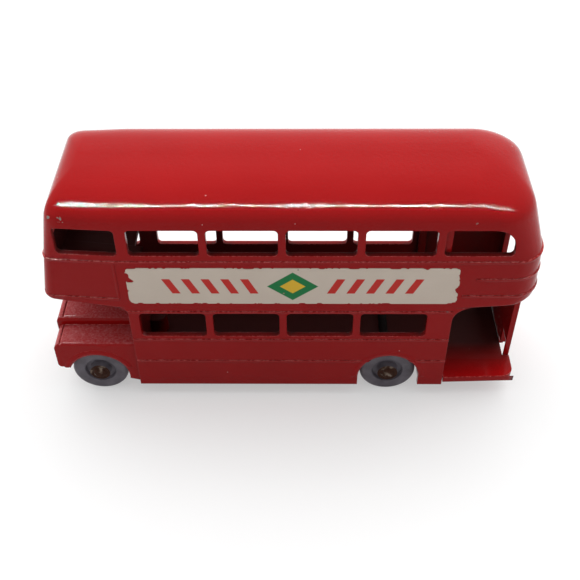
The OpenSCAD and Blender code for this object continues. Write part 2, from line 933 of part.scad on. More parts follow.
module front_nearside_wheel() {
    wheel(front_axle_x, -1);
}

module front_offside_wheel() {
    wheel(front_axle_x, 1);
}

module rear_nearside_wheel() {
    wheel(rear_axle_x, -1);
}

module rear_offside_wheel() {
    wheel(rear_axle_x, 1);
}

// Transfers

// Paper strip on a side wall, between the deck lines
module transfer(side) {
    x0 = saloon_x + transfer_front_gap;
    x1 = platform_x + transfer_reach;
    z0 = lower_head_z + head_line_rise + line_h / 2 + transfer_foot_gap;
    z1 = belly_z - line_h / 2 - transfer_head_gap;
    y = side * (half_w + transfer_t / 2);
    color("antiquewhite") across(y - transfer_t / 2, y + transfer_t / 2)
        rounded_window(x0, x1, z0, z1, [window_r, window_r, window_r, window_r]);
}

module nearside_transfer() {
    transfer(-1);
}

module offside_transfer() {
    transfer(1);
}

body_casting();
base_plate();
front_axle();
rear_axle();
front_nearside_wheel();
front_offside_wheel();
rear_nearside_wheel();
rear_offside_wheel();
nearside_transfer();
offside_transfer();
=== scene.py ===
import math

import bmesh
import bpy
from mathutils import Matrix, Vector, noise


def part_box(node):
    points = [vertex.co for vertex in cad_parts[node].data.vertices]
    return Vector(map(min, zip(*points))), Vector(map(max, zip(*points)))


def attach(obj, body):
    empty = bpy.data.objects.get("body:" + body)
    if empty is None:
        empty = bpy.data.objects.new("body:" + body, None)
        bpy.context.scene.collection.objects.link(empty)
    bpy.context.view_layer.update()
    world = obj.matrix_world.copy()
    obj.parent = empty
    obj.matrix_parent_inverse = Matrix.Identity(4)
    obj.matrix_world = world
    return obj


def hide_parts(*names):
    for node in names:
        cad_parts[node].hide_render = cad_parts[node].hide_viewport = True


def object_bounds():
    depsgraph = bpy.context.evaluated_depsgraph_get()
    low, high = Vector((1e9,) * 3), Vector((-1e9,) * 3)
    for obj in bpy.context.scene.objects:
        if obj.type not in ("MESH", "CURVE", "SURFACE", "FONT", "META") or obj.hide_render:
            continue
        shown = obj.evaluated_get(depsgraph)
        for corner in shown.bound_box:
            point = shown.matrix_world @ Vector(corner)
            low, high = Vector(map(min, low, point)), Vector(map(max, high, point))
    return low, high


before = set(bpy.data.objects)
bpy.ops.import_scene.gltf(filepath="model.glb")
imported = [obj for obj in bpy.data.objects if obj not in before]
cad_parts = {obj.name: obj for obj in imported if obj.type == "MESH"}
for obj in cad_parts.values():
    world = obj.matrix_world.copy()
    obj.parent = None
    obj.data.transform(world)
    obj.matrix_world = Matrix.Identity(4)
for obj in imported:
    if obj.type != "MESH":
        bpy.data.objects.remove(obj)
cad_low, cad_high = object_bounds()

# Sizes are in metres, and the ones named below are written in millimetres
MM = 0.001
QUARTER = math.pi / 2
# Cosine above which a face counts as facing a direction
FACING = 0.9
# Distance within which two places count as one
SAME = 0.02 * MM

# Castings: distance that joins the loose triangles, angle that makes one flat face of them, and angle of a
# cut edge
WELD = 0.001 * MM
FLAT_ANGLE = math.radians(0.4)
CUT_ANGLE = math.radians(32)

# Octaves of a noise pattern
SOFT = 2
MIXED = 3
ROUGH = 4
CRUSTED = 5

# Enamel: radius that the paint leaves on a cut edge, sizes of its patterns, depths of its waves and its gloss
PAINT_RADIUS = 0.22 * MM
PAINT_SAMPLES = 6
DRIFT_SIZE = 11 * MM
RUB_SIZE = 1.1 * MM
GLINT_SIZE = 0.45 * MM
NIB_SPACING = 3.4 * MM
PEEL_SIZE = 0.55 * MM
GRAIN_SIZE = 0.4 * MM
COARSE_SIZE = 5 * MM
PEEL_DEPTH = 0.016 * MM
GRAIN_DEPTH = 0.032 * MM
ENAMEL_GLOSS = 0.09

# Enamel: values between which an effect goes from none to full, or a level from its first to its last
EDGE_SPAN = (0.985, 0.86)
RUB_SPAN = (0.7, 0.76)
GLINT_SPAN = (0.4, 0.62)
UPWARD_SPAN = (0.25, 0.5)
NIB_SPAN = (0.032, 0.02)
DUST_AND_SHEEN_SPAN = (0.2, 0.8)
COARSE_SPAN = (0.42, 0.62)
SHADE_SPAN = (0.62, 0.38)
ENAMEL_ROUGH = (0.03, 0.09)

# Enamel: most colour of the painted glints and of the dust with painted sheen, least share of the grain, and
# roughness each adds
GLINT_COVER = 0.8
DUST_AND_SHEEN_COVER = 0.8
COARSE_LEAST = 0.4
BARE_ROUGH = 0.5
DUST_AND_SHEEN_ROUGH = 0.4
PAINTED_SHADE_ROUGH = 0.5

# Chips down to the zinc, as places and radii: three on the front nearside corner of the roof, one over the
# third window and one over the rear side window
CHIPS = (
    (Vector((-30.2, -9.1, 33.0)) * MM, 0.8 * MM),
    (Vector((-28.5, -9.7, 33.0)) * MM, 0.85 * MM),
    (Vector((-28.7, -8.1, 34.3)) * MM, 0.8 * MM),
    (Vector((6.1, -9.9, 33.3)) * MM, 0.65 * MM),
    (Vector((23.4, -10.1, 32.8)) * MM, 0.65 * MM),
)
# How far a chip's edge frays, the size of its tears and the width of its slope
CHIP_FRAY = 1.3 * MM
CHIP_TEAR = 0.6 * MM
CHIP_EDGE = 0.1 * MM

# Dust and painted sheen on the bonnet and the nearside wing: how far up and back they lie, on how level a
# face, and their grain
DUST_AND_SHEEN_TOP = 13 * MM
DUST_AND_SHEEN_REAR = -20 * MM
DUST_AND_SHEEN_LEVEL = 0.7
DUST_AND_SHEEN_GRAIN = 0.3 * MM

# Painted shade inside the castings: how far the walls shade it, the planes behind which it lies in the body,
# and where the platform's floor clears to full red
SHADE_REACH = 40 * MM
SHADE_SAMPLES = 12
BULKHEAD = -21.5 * MM
CAB_SIDE = 1.2 * MM
UPPER_FLOOR = 18.4 * MM
SALOON_END = 21 * MM
FLOOR_DARK = -3 * MM
FLOOR_CLEAR = -9 * MM

# Wheels: faces round the tread, and the shares and depths of the moulded face
WHEELS = ["front_nearside_wheel", "front_offside_wheel", "rear_nearside_wheel", "rear_offside_wheel"]
TREAD_FACES = 80
TREAD_DEPTH = 0.1 * MM
TREAD_EDGE = 0.03 * MM
HUB_PROUD = 0.35 * MM
DISH_DEPTH = 0.55 * MM
DISH_SHARE = 0.56
HUB_SHARE = 0.34
WALL_SLOPE = 0.12 * MM
SHOULDER = 0.5 * MM
SHOULDER_STEPS = 4
RIM_ROUND = 0.09 * MM
RIM_STEPS = 2
BORE_GAP = 0.06 * MM

# Wheel plastic: size and span of its mottling, size and depth of its moulded grain, roughness and gloss
MOTTLE_SIZE = 1.6 * MM
MOTTLE_SPAN = (0.3, 0.7)
MOULD_SIZE = 0.25 * MM
MOULD_DEPTH = 0.02 * MM
PLASTIC_ROUGH = (0.42, 0.62)
PLASTIC_GLOSS = 0.3

# Axles: sides of the pin, head against pin, thickness of the head and the dents of the hammer
AXLE_SIDES = 40
HEAD_SHARE = 1.5
HEAD_THICKNESS = 0.6 * MM
DOME_STEPS = 5
DENT = 0.02 * MM
DENT_SEED = 3

# Axle steel: size and span of the bright patches, size and depth of the rust's crust, roughness and gloss
PATCH_SIZE = 0.9 * MM
PATCH_SPAN = (0.56, 0.66)
CRUST_SIZE = 0.3 * MM
CRUST_DEPTH = 0.06 * MM
STEEL_ROUGH = (0.85, 0.4)
STEEL_GLOSS = 0.12
# Painted shade on the axles covers the middle of the bus and thins out between these distances from it
AXLE_SHADE_START = 6 * MM
AXLE_SHADE_END = 8 * MM

# Transfers: size of a paper cell, deepest bites out of the long edges and the ends, length of a bite, radius
# of a corner and smoothing of the torn line
PAPER_CELL = 0.15 * MM
EDGE_BITE = 0.45 * MM
END_BITE = 2.2 * MM
BITE_LENGTH = 0.9 * MM
PAPER_CORNER = 1 * MM
PAPER_SMOOTHING = 2
SMOOTHING_SHARE = 0.5

# Print: half lengths and half heights of the green lozenge and its yellow core, and the blur of their edges
LOZENGES = ((3.4 * MM, 2.5 * MM), (1.7 * MM, 1.25 * MM))
LOZENGE_SPAN = (1.02, 0.98)
# Print: the bars' pitch, their share of it, where a row starts and ends from the middle, half height and lean
BAR_PITCH = 2.6 * MM
BAR_SHARE = 0.42
BAR_START = 5.2 * MM
BAR_END = 18.2 * MM
BAR_HALF_HEIGHT = 1.3 * MM
BAR_LEAN = 0.5
# Paper: size of its clouds, spacing and span of its specks, size and depth of its fibres, roughness and gloss
CLOUD_SIZE = 7 * MM
SPECK_SPACING = 2.9 * MM
SPECK_SPAN = (0.05, 0.03)
FIBRE_SIZE = 0.3 * MM
FIBRE_DEPTH = 0.015 * MM
PAPER_ROUGH = (0.5, 0.7)
PAPER_GLOSS = 0.2

# Camera, found from the outline of the bus in the photograph, whose frame is square
CAMERA_PLACE = Vector((1.33, -95.98, 102.84)) * MM
CAMERA_PITCH = math.radians(43.52)
CAMERA_YAW = math.radians(-0.76)
CAMERA_ROLL = math.radians(-0.46)
SENSOR = 36
LENS = 55.1
NEAR_CLIP = 10 * MM

# Lights: an overhead tube and its power in watts; surroundings that are bright behind the bus and dim in
# front, as levels and as the span over which they change; and the floor
TUBE_HEIGHT = 1000 * MM
TUBE_LENGTH = 1600 * MM
TUBE_WIDTH = 2.5 * MM
TUBE_POWER = 72
BRIGHT_TILT = math.radians(58)
BRIGHT_LEVEL = 2.45
DIM_LEVEL = 0.4
WHITE_LEVEL = 1
BRIGHT_START = -0.05
BRIGHT_FULL = 0.75
FLOOR_SIZE = 8000 * MM
FLOOR_TONE = 0.5
FLOOR_GLOW = 0.42

# Sockets of a colour Mix node, which shares their names with others
MIX_FACTOR = 0
MIX_FIRST = 6
MIX_SECOND = 7
MIX_RESULT = 2
# Sockets of a number Mix node
BLEND_FIRST = 2
BLEND_SECOND = 3
BLEND_RESULT = 0


# Working tools


def linear(code):
    """An sRGB hex colour as linear RGBA."""
    shares = [int(code[i : i + 2], 16) / 255 for i in (1, 3, 5)]
    return [s / 12.92 if s <= 0.04045 else ((s + 0.055) / 1.055) ** 2.4 for s in shares] + [1]


def per(size):
    """Pattern scale at which one feature of the pattern has that size."""
    return 1 / size


def take(piece):
    """Selects one piece and nothing else."""
    bpy.ops.object.select_all(action="DESELECT")
    piece.select_set(True)
    bpy.context.view_layer.objects.active = piece


def pick_faces(piece, wanted):
    """In edit mode, selects the faces that are wanted and nothing else."""
    bpy.ops.mesh.select_mode(type="FACE")
    bpy.ops.mesh.select_all(action="DESELECT")
    mesh = bmesh.from_edit_mesh(piece.data)
    for face in mesh.faces:
        face.select_set(wanted(face))
    bmesh.update_edit_mesh(piece.data)


def pick_edges(piece, wanted):
    """In edit mode, selects the edges that are wanted and nothing else."""
    bpy.ops.mesh.select_mode(type="EDGE")
    bpy.ops.mesh.select_all(action="DESELECT")
    mesh = bmesh.from_edit_mesh(piece.data)
    for edge in mesh.edges:
        edge.select_set(wanted(edge))
    bmesh.update_edit_mesh(piece.data)


def modify(piece, kind, **settings):
    """Adds a modifier with its settings and applies it."""
    modifier = piece.modifiers.new(kind.lower(), kind)
    for name, value in settings.items():
        setattr(modifier, name, value)
    take(piece)
    bpy.ops.object.modifier_apply(modifier=modifier.name)


def stand_for(piece, node, body, slot, *materials):
    """Names a finished piece for its CAD node, gives it its materials and lets it move with its body."""
    piece.name = node + "_finish"
    piece.data.materials.clear()
    for material in materials:
        piece.data.materials.append(material)
    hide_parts(node)
    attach(piece, body)


def new_material(name):
    """An empty material with a Principled shader, and the tree to add nodes to."""
    material = bpy.data.materials.new(name)
    material.use_nodes = True
    tree = material.node_tree
    tree.nodes.clear()
    shader = add(tree, "ShaderNodeBsdfPrincipled")
    add(tree, "ShaderNodeOutputMaterial", {"Surface": shader.outputs["BSDF"]})
    return material, tree, shader


def add(tree, kind, inputs=None, **settings):
    """Adds a node with its settings; an input is a value or the socket that feeds it."""
    node = tree.nodes.new(kind)
    for name, value in settings.items():
        setattr(node, name, value)
    for name, value in (inputs or {}).items():
        feed(tree, node, name, value)
    return node


def feed(tree, node, name, value):
    """Sets an input of a node, or links a socket to it."""
    if isinstance(value, bpy.types.NodeSocket):
        tree.links.new(value, node.inputs[name])
    else:
        node.inputs[name].default_value = value


# Materials


def painted_shade_in_body(tree, place):
    """Painted shade inside the body casting: how closed in a place is, from 0 on its outer skin to 1 behind
    its walls.
    """
    open_share = add(
        tree,
        "ShaderNodeAmbientOcclusion",
        {"Distance": SHADE_REACH},
        samples=SHADE_SAMPLES,
        only_local=True,
    ).outputs["AO"]
    deep = add(
        tree,
        "ShaderNodeMapRange",
        {"Value": open_share, "From Min": SHADE_SPAN[0], "From Max": SHADE_SPAN[1]},
    )
    # The recess over the bonnet is left without painted shade: only the saloon, cab and upper deck are shaded
    axes = add(tree, "ShaderNodeSeparateXYZ", {0: place})
    within = 0
    for axis, limit in (("X", BULKHEAD), ("Y", CAB_SIDE), ("Z", UPPER_FLOOR)):
        past = add(tree, "ShaderNodeMath", {0: axes.outputs[axis], 1: limit}, operation="GREATER_THAN")
        within = add(
            tree,
            "ShaderNodeMath",
            {0: past.outputs["Value"], 1: within},
            operation="MAXIMUM",
        ).outputs["Value"]
    return add(
        tree,
        "ShaderNodeMath",
        {0: deep.outputs["Result"], 1: within},
        operation="MULTIPLY",
    ).outputs["Value"]


def painted_shade_on_base(tree, place):
    """Painted shade on the base plate's floor: how far in a place lies, from 0 at the platform's edge to 1 in
    the saloon.
    """
    axes = add(tree, "ShaderNodeSeparateXYZ", {0: place})
    ahead = add(tree, "ShaderNodeMath", {0: axes.outputs["X"], 1: SALOON_END}, operation="LESS_THAN")
    across = add(
        tree,
        "ShaderNodeMapRange",
        {"Value": axes.outputs["Y"], "From Min": FLOOR_CLEAR, "From Max": FLOOR_DARK},
    )
    inside = add(
        tree,
        "ShaderNodeMath",
        {0: ahead.outputs["Value"], 1: across.outputs["Result"]},
        operation="MAXIMUM",
    )
    underside_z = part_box("base_plate")[0].z
    axle_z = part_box("front_axle")[0].z
    above = add(
        tree,
        "ShaderNodeMapRange",
        {"Value": axes.outputs["Z"], "From Min": underside_z, "From Max": axle_z},
    )
    return add(
        tree,
        "ShaderNodeMath",
        {0: inside.outputs["Value"], 1: above.outputs["Result"]},
        operation="MULTIPLY",
    ).outputs["Value"]


def red_enamel(name, painted_shade_share):
    """Gloss enamel stoved on cast zinc: deep red with orange-peel waves, rubbed on the edges, painted glints
    on edges that face up, a few chips down to grey metal, dust and painted sheen on the bonnet, and painted
    shade inside."""
    material, tree, shader = new_material(name)
    place = add(tree, "ShaderNodeTexCoord").outputs["Object"]
    true_normal = add(tree, "ShaderNodeNewGeometry").outputs["Normal"]

    # Colour drifts a little over the panels
    drift = add(tree, "ShaderNodeTexNoise", {"Vector": place, "Scale": per(DRIFT_SIZE), "Detail": MIXED})
    colour = add(
        tree,
        "ShaderNodeMix",
        {MIX_FACTOR: drift.outputs["Fac"], MIX_FIRST: linear("#930d0e"), MIX_SECOND: linear("#a41113")},
        data_type="RGBA",
    ).outputs[MIX_RESULT]

    # Cut edges: the rounded normal leaves the true one
    rounded = add(tree, "ShaderNodeBevel", {"Radius": PAINT_RADIUS}, samples=PAINT_SAMPLES).outputs["Normal"]
    facing = add(tree, "ShaderNodeVectorMath", {0: rounded, 1: true_normal}, operation="DOT_PRODUCT")
    edge = add(
        tree,
        "ShaderNodeMapRange",
        {"Value": facing.outputs["Value"], "From Min": EDGE_SPAN[0], "From Max": EDGE_SPAN[1]},
    ).outputs["Result"]
    rub = add(tree, "ShaderNodeTexNoise", {"Vector": place, "Scale": per(RUB_SIZE), "Detail": ROUGH})
    rubbed = add(
        tree,
        "ShaderNodeMapRange",
        {"Value": rub.outputs["Fac"], "From Min": RUB_SPAN[0], "From Max": RUB_SPAN[1]},
    ).outputs["Result"]
    bare = add(tree, "ShaderNodeMath", {0: edge, 1: rubbed}, operation="MULTIPLY").outputs["Value"]

    # Painted glints: edges that face up are painted pale in flecks, where the lamp overhead would gleam on
    # them
    tilt = add(tree, "ShaderNodeSeparateXYZ", {0: rounded})
    glint_noise = add(tree, "ShaderNodeTexNoise", {"Vector": place, "Scale": per(GLINT_SIZE), "Detail": SOFT})
    painted_glint = add(
        tree,
        "ShaderNodeMapRange",
        {
            "Value": glint_noise.outputs["Fac"],
            "From Min": GLINT_SPAN[0],
            "From Max": GLINT_SPAN[1],
            "To Max": GLINT_COVER,
        },
    ).outputs["Result"]
    upward = add(
        tree,
        "ShaderNodeMapRange",
        {"Value": tilt.outputs["Z"], "From Min": UPWARD_SPAN[0], "From Max": UPWARD_SPAN[1]},
    ).outputs["Result"]
    for share in (edge, upward):
        painted_glint = add(tree, "ShaderNodeMath", {0: painted_glint, 1: share}, operation="MULTIPLY").outputs["Value"]

    # Chips: the paint ends at a frayed line round each place
    tear = add(tree, "ShaderNodeTexNoise", {"Vector": place, "Scale": per(CHIP_TEAR), "Detail": MIXED})
    fray = add(tree, "ShaderNodeMath", {0: tear.outputs["Fac"], 1: CHIP_FRAY}, operation="MULTIPLY")
    for spot, radius in CHIPS:
        away = add(tree, "ShaderNodeVectorMath", {0: place, 1: spot}, operation="DISTANCE")
        frayed = add(
            tree,
            "ShaderNodeMath",
            {0: away.outputs["Value"], 1: fray.outputs["Value"]},
            operation="ADD",
        )
        chip = add(
            tree,
            "ShaderNodeMapRange",
            {"Value": frayed.outputs["Value"], "From Min": radius + CHIP_EDGE, "From Max": radius},
        )
        bare = add(
            tree,
            "ShaderNodeMath",
            {0: bare, 1: chip.outputs["Result"]},
            operation="MAXIMUM",
        ).outputs["Value"]

    # Dust nibs under the gloss, and a grainy pale film on the level faces of the bonnet and the wing, partly
    # dust and partly painted sheen
    nibs = add(tree, "ShaderNodeTexVoronoi", {"Vector": place, "Scale": per(NIB_SPACING)})
    nib = add(
        tree,
        "ShaderNodeMapRange",
        {"Value": nibs.outputs["Distance"], "From Min": NIB_SPAN[0], "From Max": NIB_SPAN[1]},
    ).outputs["Result"]
    axes = add(tree, "ShaderNodeSeparateXYZ", {0: place})
    film = add(tree, "ShaderNodeTexNoise", {"Vector": place, "Scale": per(DUST_AND_SHEEN_GRAIN), "Detail": MIXED})
    dust_and_sheen = add(
        tree,
        "ShaderNodeMapRange",
        {
            "Value": film.outputs["Fac"],
            "From Min": DUST_AND_SHEEN_SPAN[0],
            "From Max": DUST_AND_SHEEN_SPAN[1],
            "To Max": DUST_AND_SHEEN_COVER,
        },
    ).outputs["Result"]
    lies = (
        (tilt.outputs["Z"], DUST_AND_SHEEN_LEVEL, "GREATER_THAN"),
        (axes.outputs["Z"], DUST_AND_SHEEN_TOP, "LESS_THAN"),
        (axes.outputs["X"], DUST_AND_SHEEN_REAR, "LESS_THAN"),
    )
    for value, limit, side in lies:
        kept = add(tree, "ShaderNodeMath", {0: value, 1: limit}, operation=side).outputs["Value"]
        dust_and_sheen = add(tree, "ShaderNodeMath", {0: dust_and_sheen, 1: kept}, operation="MULTIPLY").outputs["Value"]
    # Painted shade: a dull dark tone where the walls or the body close a place in
    painted_shade = painted_shade_share(tree, place)

    layers = (
        # painted glints on edges that face up
        (painted_glint, "#ff7c78"),
        (nib, "#c99a98"),
        # dust, and painted sheen on the level faces of the bonnet and the wing
        (dust_and_sheen, "#b8696b"),
        # painted shade inside the castings
        (painted_shade, "#481917"),
        (bare, "#8a827d"),
    )
    for share, tone in layers:
        colour = add(
            tree,
            "ShaderNodeMix",
            {MIX_FACTOR: share, MIX_FIRST: colour, MIX_SECOND: linear(tone)},
            data_type="RGBA",
        ).outputs[MIX_RESULT]

    # Orange peel over the grain of the casting, which is coarser in patches
    peel = add(tree, "ShaderNodeTexNoise", {"Vector": place, "Scale": per(PEEL_SIZE), "Detail": SOFT})
    grain = add(tree, "ShaderNodeTexNoise", {"Vector": place, "Scale": per(GRAIN_SIZE), "Detail": SOFT})
    patches = add(tree, "ShaderNodeTexNoise", {"Vector": place, "Scale": per(COARSE_SIZE), "Detail": SOFT})
    coarse = add(
        tree,
        "ShaderNodeMapRange",
        {
            "Value": patches.outputs["Fac"],
            "From Min": COARSE_SPAN[0],
            "From Max": COARSE_SPAN[1],
            "To Min": COARSE_LEAST,
        },
    )
    grain_bump = add(
        tree,
        "ShaderNodeBump",
        {
            "Strength": coarse.outputs["Result"],
            "Height": grain.outputs["Fac"],
            "Distance": GRAIN_DEPTH,
            "Normal": rounded,
        },
    )
    peel_bump = add(
        tree,
        "ShaderNodeBump",
        {"Height": peel.outputs["Fac"], "Distance": PEEL_DEPTH, "Normal": grain_bump.outputs["Normal"]},
    )
    rough = add(
        tree,
        "ShaderNodeMapRange",
        {"Value": drift.outputs["Fac"], "To Min": ENAMEL_ROUGH[0], "To Max": ENAMEL_ROUGH[1]},
    ).outputs["Result"]
    for share, added in ((bare, BARE_ROUGH), (dust_and_sheen, DUST_AND_SHEEN_ROUGH), (painted_shade, PAINTED_SHADE_ROUGH)):
        rough = add(
            tree,
            "ShaderNodeMath",
            {0: share, 1: added, 2: rough},
            operation="MULTIPLY_ADD",
        ).outputs["Value"]

    feed(tree, shader, "Base Color", colour)
    feed(tree, shader, "Roughness", rough)
    feed(tree, shader, "Normal", peel_bump.outputs["Normal"])
    feed(tree, shader, "Specular IOR Level", ENAMEL_GLOSS)
    return material


def wheel_plastic(name, low_tone, high_tone):
    """Grey moulded plastic: satin, mottled by handling, with a fine moulded grain."""
    material, tree, shader = new_material(name)
    place = add(tree, "ShaderNodeTexCoord").outputs["Object"]
    mottle = add(tree, "ShaderNodeTexNoise", {"Vector": place, "Scale": per(MOTTLE_SIZE), "Detail": CRUSTED})
    spread = add(
        tree,
        "ShaderNodeMapRange",
        {"Value": mottle.outputs["Fac"], "From Min": MOTTLE_SPAN[0], "From Max": MOTTLE_SPAN[1]},
    )
    colour = add(
        tree,
        "ShaderNodeMix",
        {MIX_FACTOR: spread.outputs["Result"], MIX_FIRST: linear(low_tone), MIX_SECOND: linear(high_tone)},
        data_type="RGBA",
    )
    grain = add(tree, "ShaderNodeTexNoise", {"Vector": place, "Scale": per(MOULD_SIZE), "Detail": MIXED})
    bump = add(tree, "ShaderNodeBump", {"Height": grain.outputs["Fac"], "Distance": MOULD_DEPTH})
    rough = add(
        tree,
        "ShaderNodeMapRange",
        {"Value": mottle.outputs["Fac"], "To Min": PLASTIC_ROUGH[0], "To Max": PLASTIC_ROUGH[1]},
    )
    feed(tree, shader, "Base Color", colour.outputs[MIX_RESULT])
    feed(tree, shader, "Roughness", rough.outputs["Result"])
    feed(tree, shader, "Normal", bump.outputs["Normal"])
    feed(tree, shader, "Specular IOR Level", PLASTIC_GLOSS)
    return material


def rusted_steel():
    """Mild steel pin with peened ends: bright patches in brown rust, darkened by painted shade inside the
    bus.
    """
    material, tree, shader = new_material("rusted_mild_steel")
    place = add(tree, "ShaderNodeTexCoord").outputs["Object"]
    patches = add(tree, "ShaderNodeTexNoise", {"Vector": place, "Scale": per(PATCH_SIZE), "Detail": CRUSTED})
    across = add(tree, "ShaderNodeSeparateXYZ", {0: place}).outputs["Y"]
    reach = add(tree, "ShaderNodeMath", {0: across}, operation="ABSOLUTE")
    unshaded = add(
        tree,
        "ShaderNodeMapRange",
        {"Value": reach.outputs["Value"], "From Min": AXLE_SHADE_START, "From Max": AXLE_SHADE_END},
    )
    patch = add(
        tree,
        "ShaderNodeMapRange",
        {"Value": patches.outputs["Fac"], "From Min": PATCH_SPAN[0], "From Max": PATCH_SPAN[1]},
    )
    bright = add(
        tree,
        "ShaderNodeMath",
        {0: patch.outputs["Result"], 1: unshaded.outputs["Result"]},
        operation="MULTIPLY",
    ).outputs["Value"]
    crust = add(tree, "ShaderNodeTexNoise", {"Vector": place, "Scale": per(CRUST_SIZE), "Detail": ROUGH})
    rust = add(
        tree,
        "ShaderNodeMix",
        {MIX_FACTOR: crust.outputs["Fac"], MIX_FIRST: linear("#281812"), MIX_SECOND: linear("#4e3226")},
        data_type="RGBA",
    )
    struck = add(
        tree,
        "ShaderNodeMix",
        {
            MIX_FACTOR: bright,
            MIX_FIRST: rust.outputs[MIX_RESULT],
            MIX_SECOND: linear("#6f6257"),
        },
        data_type="RGBA",
    )
    # Painted shade: the pin is darkened where it runs inside the bus
    colour = add(
        tree,
        "ShaderNodeMix",
        {
            MIX_FACTOR: unshaded.outputs["Result"],
            MIX_FIRST: linear("#150d0b"),
            MIX_SECOND: struck.outputs[MIX_RESULT],
        },
        data_type="RGBA",
    )
    rough = add(
        tree,
        "ShaderNodeMapRange",
        {"Value": bright, "To Min": STEEL_ROUGH[0], "To Max": STEEL_ROUGH[1]},
    )
    bump = add(tree, "ShaderNodeBump", {"Height": crust.outputs["Fac"], "Distance": CRUST_DEPTH})
    feed(tree, shader, "Base Color", colour.outputs[MIX_RESULT])
    feed(tree, shader, "Metallic", bright)
    feed(tree, shader, "Roughness", rough.outputs["Result"])
    feed(tree, shader, "Normal", bump.outputs["Normal"])
    feed(tree, shader, "Specular IOR Level", STEEL_GLOSS)
    return material


def printed_paper():
    """Cream paper transfer printed in flat inks: a green lozenge with a yellow core between rows of slanted
    red bars, on paper that has yellowed and picked up specks."""
    material, tree, shader = new_material("printed_paper_transfer")
    place = add(tree, "ShaderNodeTexCoord").outputs["Object"]
    low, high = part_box("nearside_transfer")
    centre = (low + high) / 2
    from_centre = add(
        tree,
        "ShaderNodeVectorMath",
        {0: place, 1: centre},
        operation="SUBTRACT",
    )
    axes = add(tree, "ShaderNodeSeparateXYZ", {0: from_centre.outputs["Vector"]})
    along = add(tree, "ShaderNodeMath", {0: axes.outputs["X"]}, operation="ABSOLUTE").outputs["Value"]
    above = add(tree, "ShaderNodeMath", {0: axes.outputs["Z"]}, operation="ABSOLUTE").outputs["Value"]

    # Lozenge in the middle: how far a place lies from its centre, against its half length and half height
    lozenge_shares = []
    for half_length, half_height in LOZENGES:
        sideways = add(tree, "ShaderNodeMath", {0: along, 1: half_length}, operation="DIVIDE")
        upright = add(tree, "ShaderNodeMath", {0: above, 1: half_height}, operation="DIVIDE")
        reach = add(
            tree,
            "ShaderNodeMath",
            {0: sideways.outputs["Value"], 1: upright.outputs["Value"]},
            operation="ADD",
        )
        inside = add(
            tree,
            "ShaderNodeMapRange",
            {"Value": reach.outputs["Value"], "From Min": LOZENGE_SPAN[0], "From Max": LOZENGE_SPAN[1]},
        )
        lozenge_shares.append(inside.outputs["Result"])

    # Rows of slanted bars on both sides of it
    leaning = add(
        tree,
        "ShaderNodeMath",
        {0: axes.outputs["Z"], 1: -BAR_LEAN, 2: along},
        operation="MULTIPLY_ADD",
    )
    shifted = add(tree, "ShaderNodeMath", {0: leaning.outputs["Value"], 1: BAR_START}, operation="SUBTRACT")
    counted = add(tree, "ShaderNodeMath", {0: shifted.outputs["Value"], 1: BAR_PITCH}, operation="DIVIDE")
    within = add(tree, "ShaderNodeMath", {0: counted.outputs["Value"]}, operation="FRACT")
    bar_limits = (
        (within.outputs["Value"], BAR_SHARE, "LESS_THAN"),
        (shifted.outputs["Value"], 0, "GREATER_THAN"),
        (shifted.outputs["Value"], BAR_END - BAR_START, "LESS_THAN"),
        (above, BAR_HALF_HEIGHT, "LESS_THAN"),
    )
    bar = None
    for value, limit, side in bar_limits:
        kept = add(tree, "ShaderNodeMath", {0: value, 1: limit}, operation=side).outputs["Value"]
        if bar is None:
            bar = kept
        else:
            bar = add(tree, "ShaderNodeMath", {0: bar, 1: kept}, operation="MULTIPLY").outputs["Value"]

    # Paper, yellowed in clouds, under the inks
    clouds = add(tree, "ShaderNodeTexNoise", {"Vector": place, "Scale": per(CLOUD_SIZE), "Detail": ROUGH})
    colour = add(
        tree,
        "ShaderNodeMix",
        {MIX_FACTOR: clouds.outputs["Fac"], MIX_FIRST: linear("#d3c4b5"), MIX_SECOND: linear("#dfd1c3")},
        data_type="RGBA",
    ).outputs[MIX_RESULT]
    specks = add(tree, "ShaderNodeTexVoronoi", {"Vector": place, "Scale": per(SPECK_SPACING)})
    speck = add(
        tree,
        "ShaderNodeMapRange",
        {"Value": specks.outputs["Distance"], "From Min": SPECK_SPAN[0], "From Max": SPECK_SPAN[1]},
    )
    inks = (
        (bar, "#c8322c"),
        (lozenge_shares[0], "#1f7a45"),
        (lozenge_shares[1], "#e8bd3c"),
        (speck.outputs["Result"], "#9c8878"),
    )
    for share, ink in inks:
        colour = add(
            tree,
            "ShaderNodeMix",
            {MIX_FACTOR: share, MIX_FIRST: colour, MIX_SECOND: linear(ink)},
            data_type="RGBA",
        ).outputs[MIX_RESULT]

    fibres = add(tree, "ShaderNodeTexNoise", {"Vector": place, "Scale": per(FIBRE_SIZE), "Detail": ROUGH})
    bump = add(tree, "ShaderNodeBump", {"Height": fibres.outputs["Fac"], "Distance": FIBRE_DEPTH})
    rough = add(
        tree,
        "ShaderNodeMapRange",
        {"Value": clouds.outputs["Fac"], "To Min": PAPER_ROUGH[0], "To Max": PAPER_ROUGH[1]},
    )
    feed(tree, shader, "Base Color", colour)
    feed(tree, shader, "Roughness", rough.outputs["Result"])
    feed(tree, shader, "Normal", bump.outputs["Normal"])
    feed(tree, shader, "Specular IOR Level", PAPER_GLOSS)
    return material


# Pieces


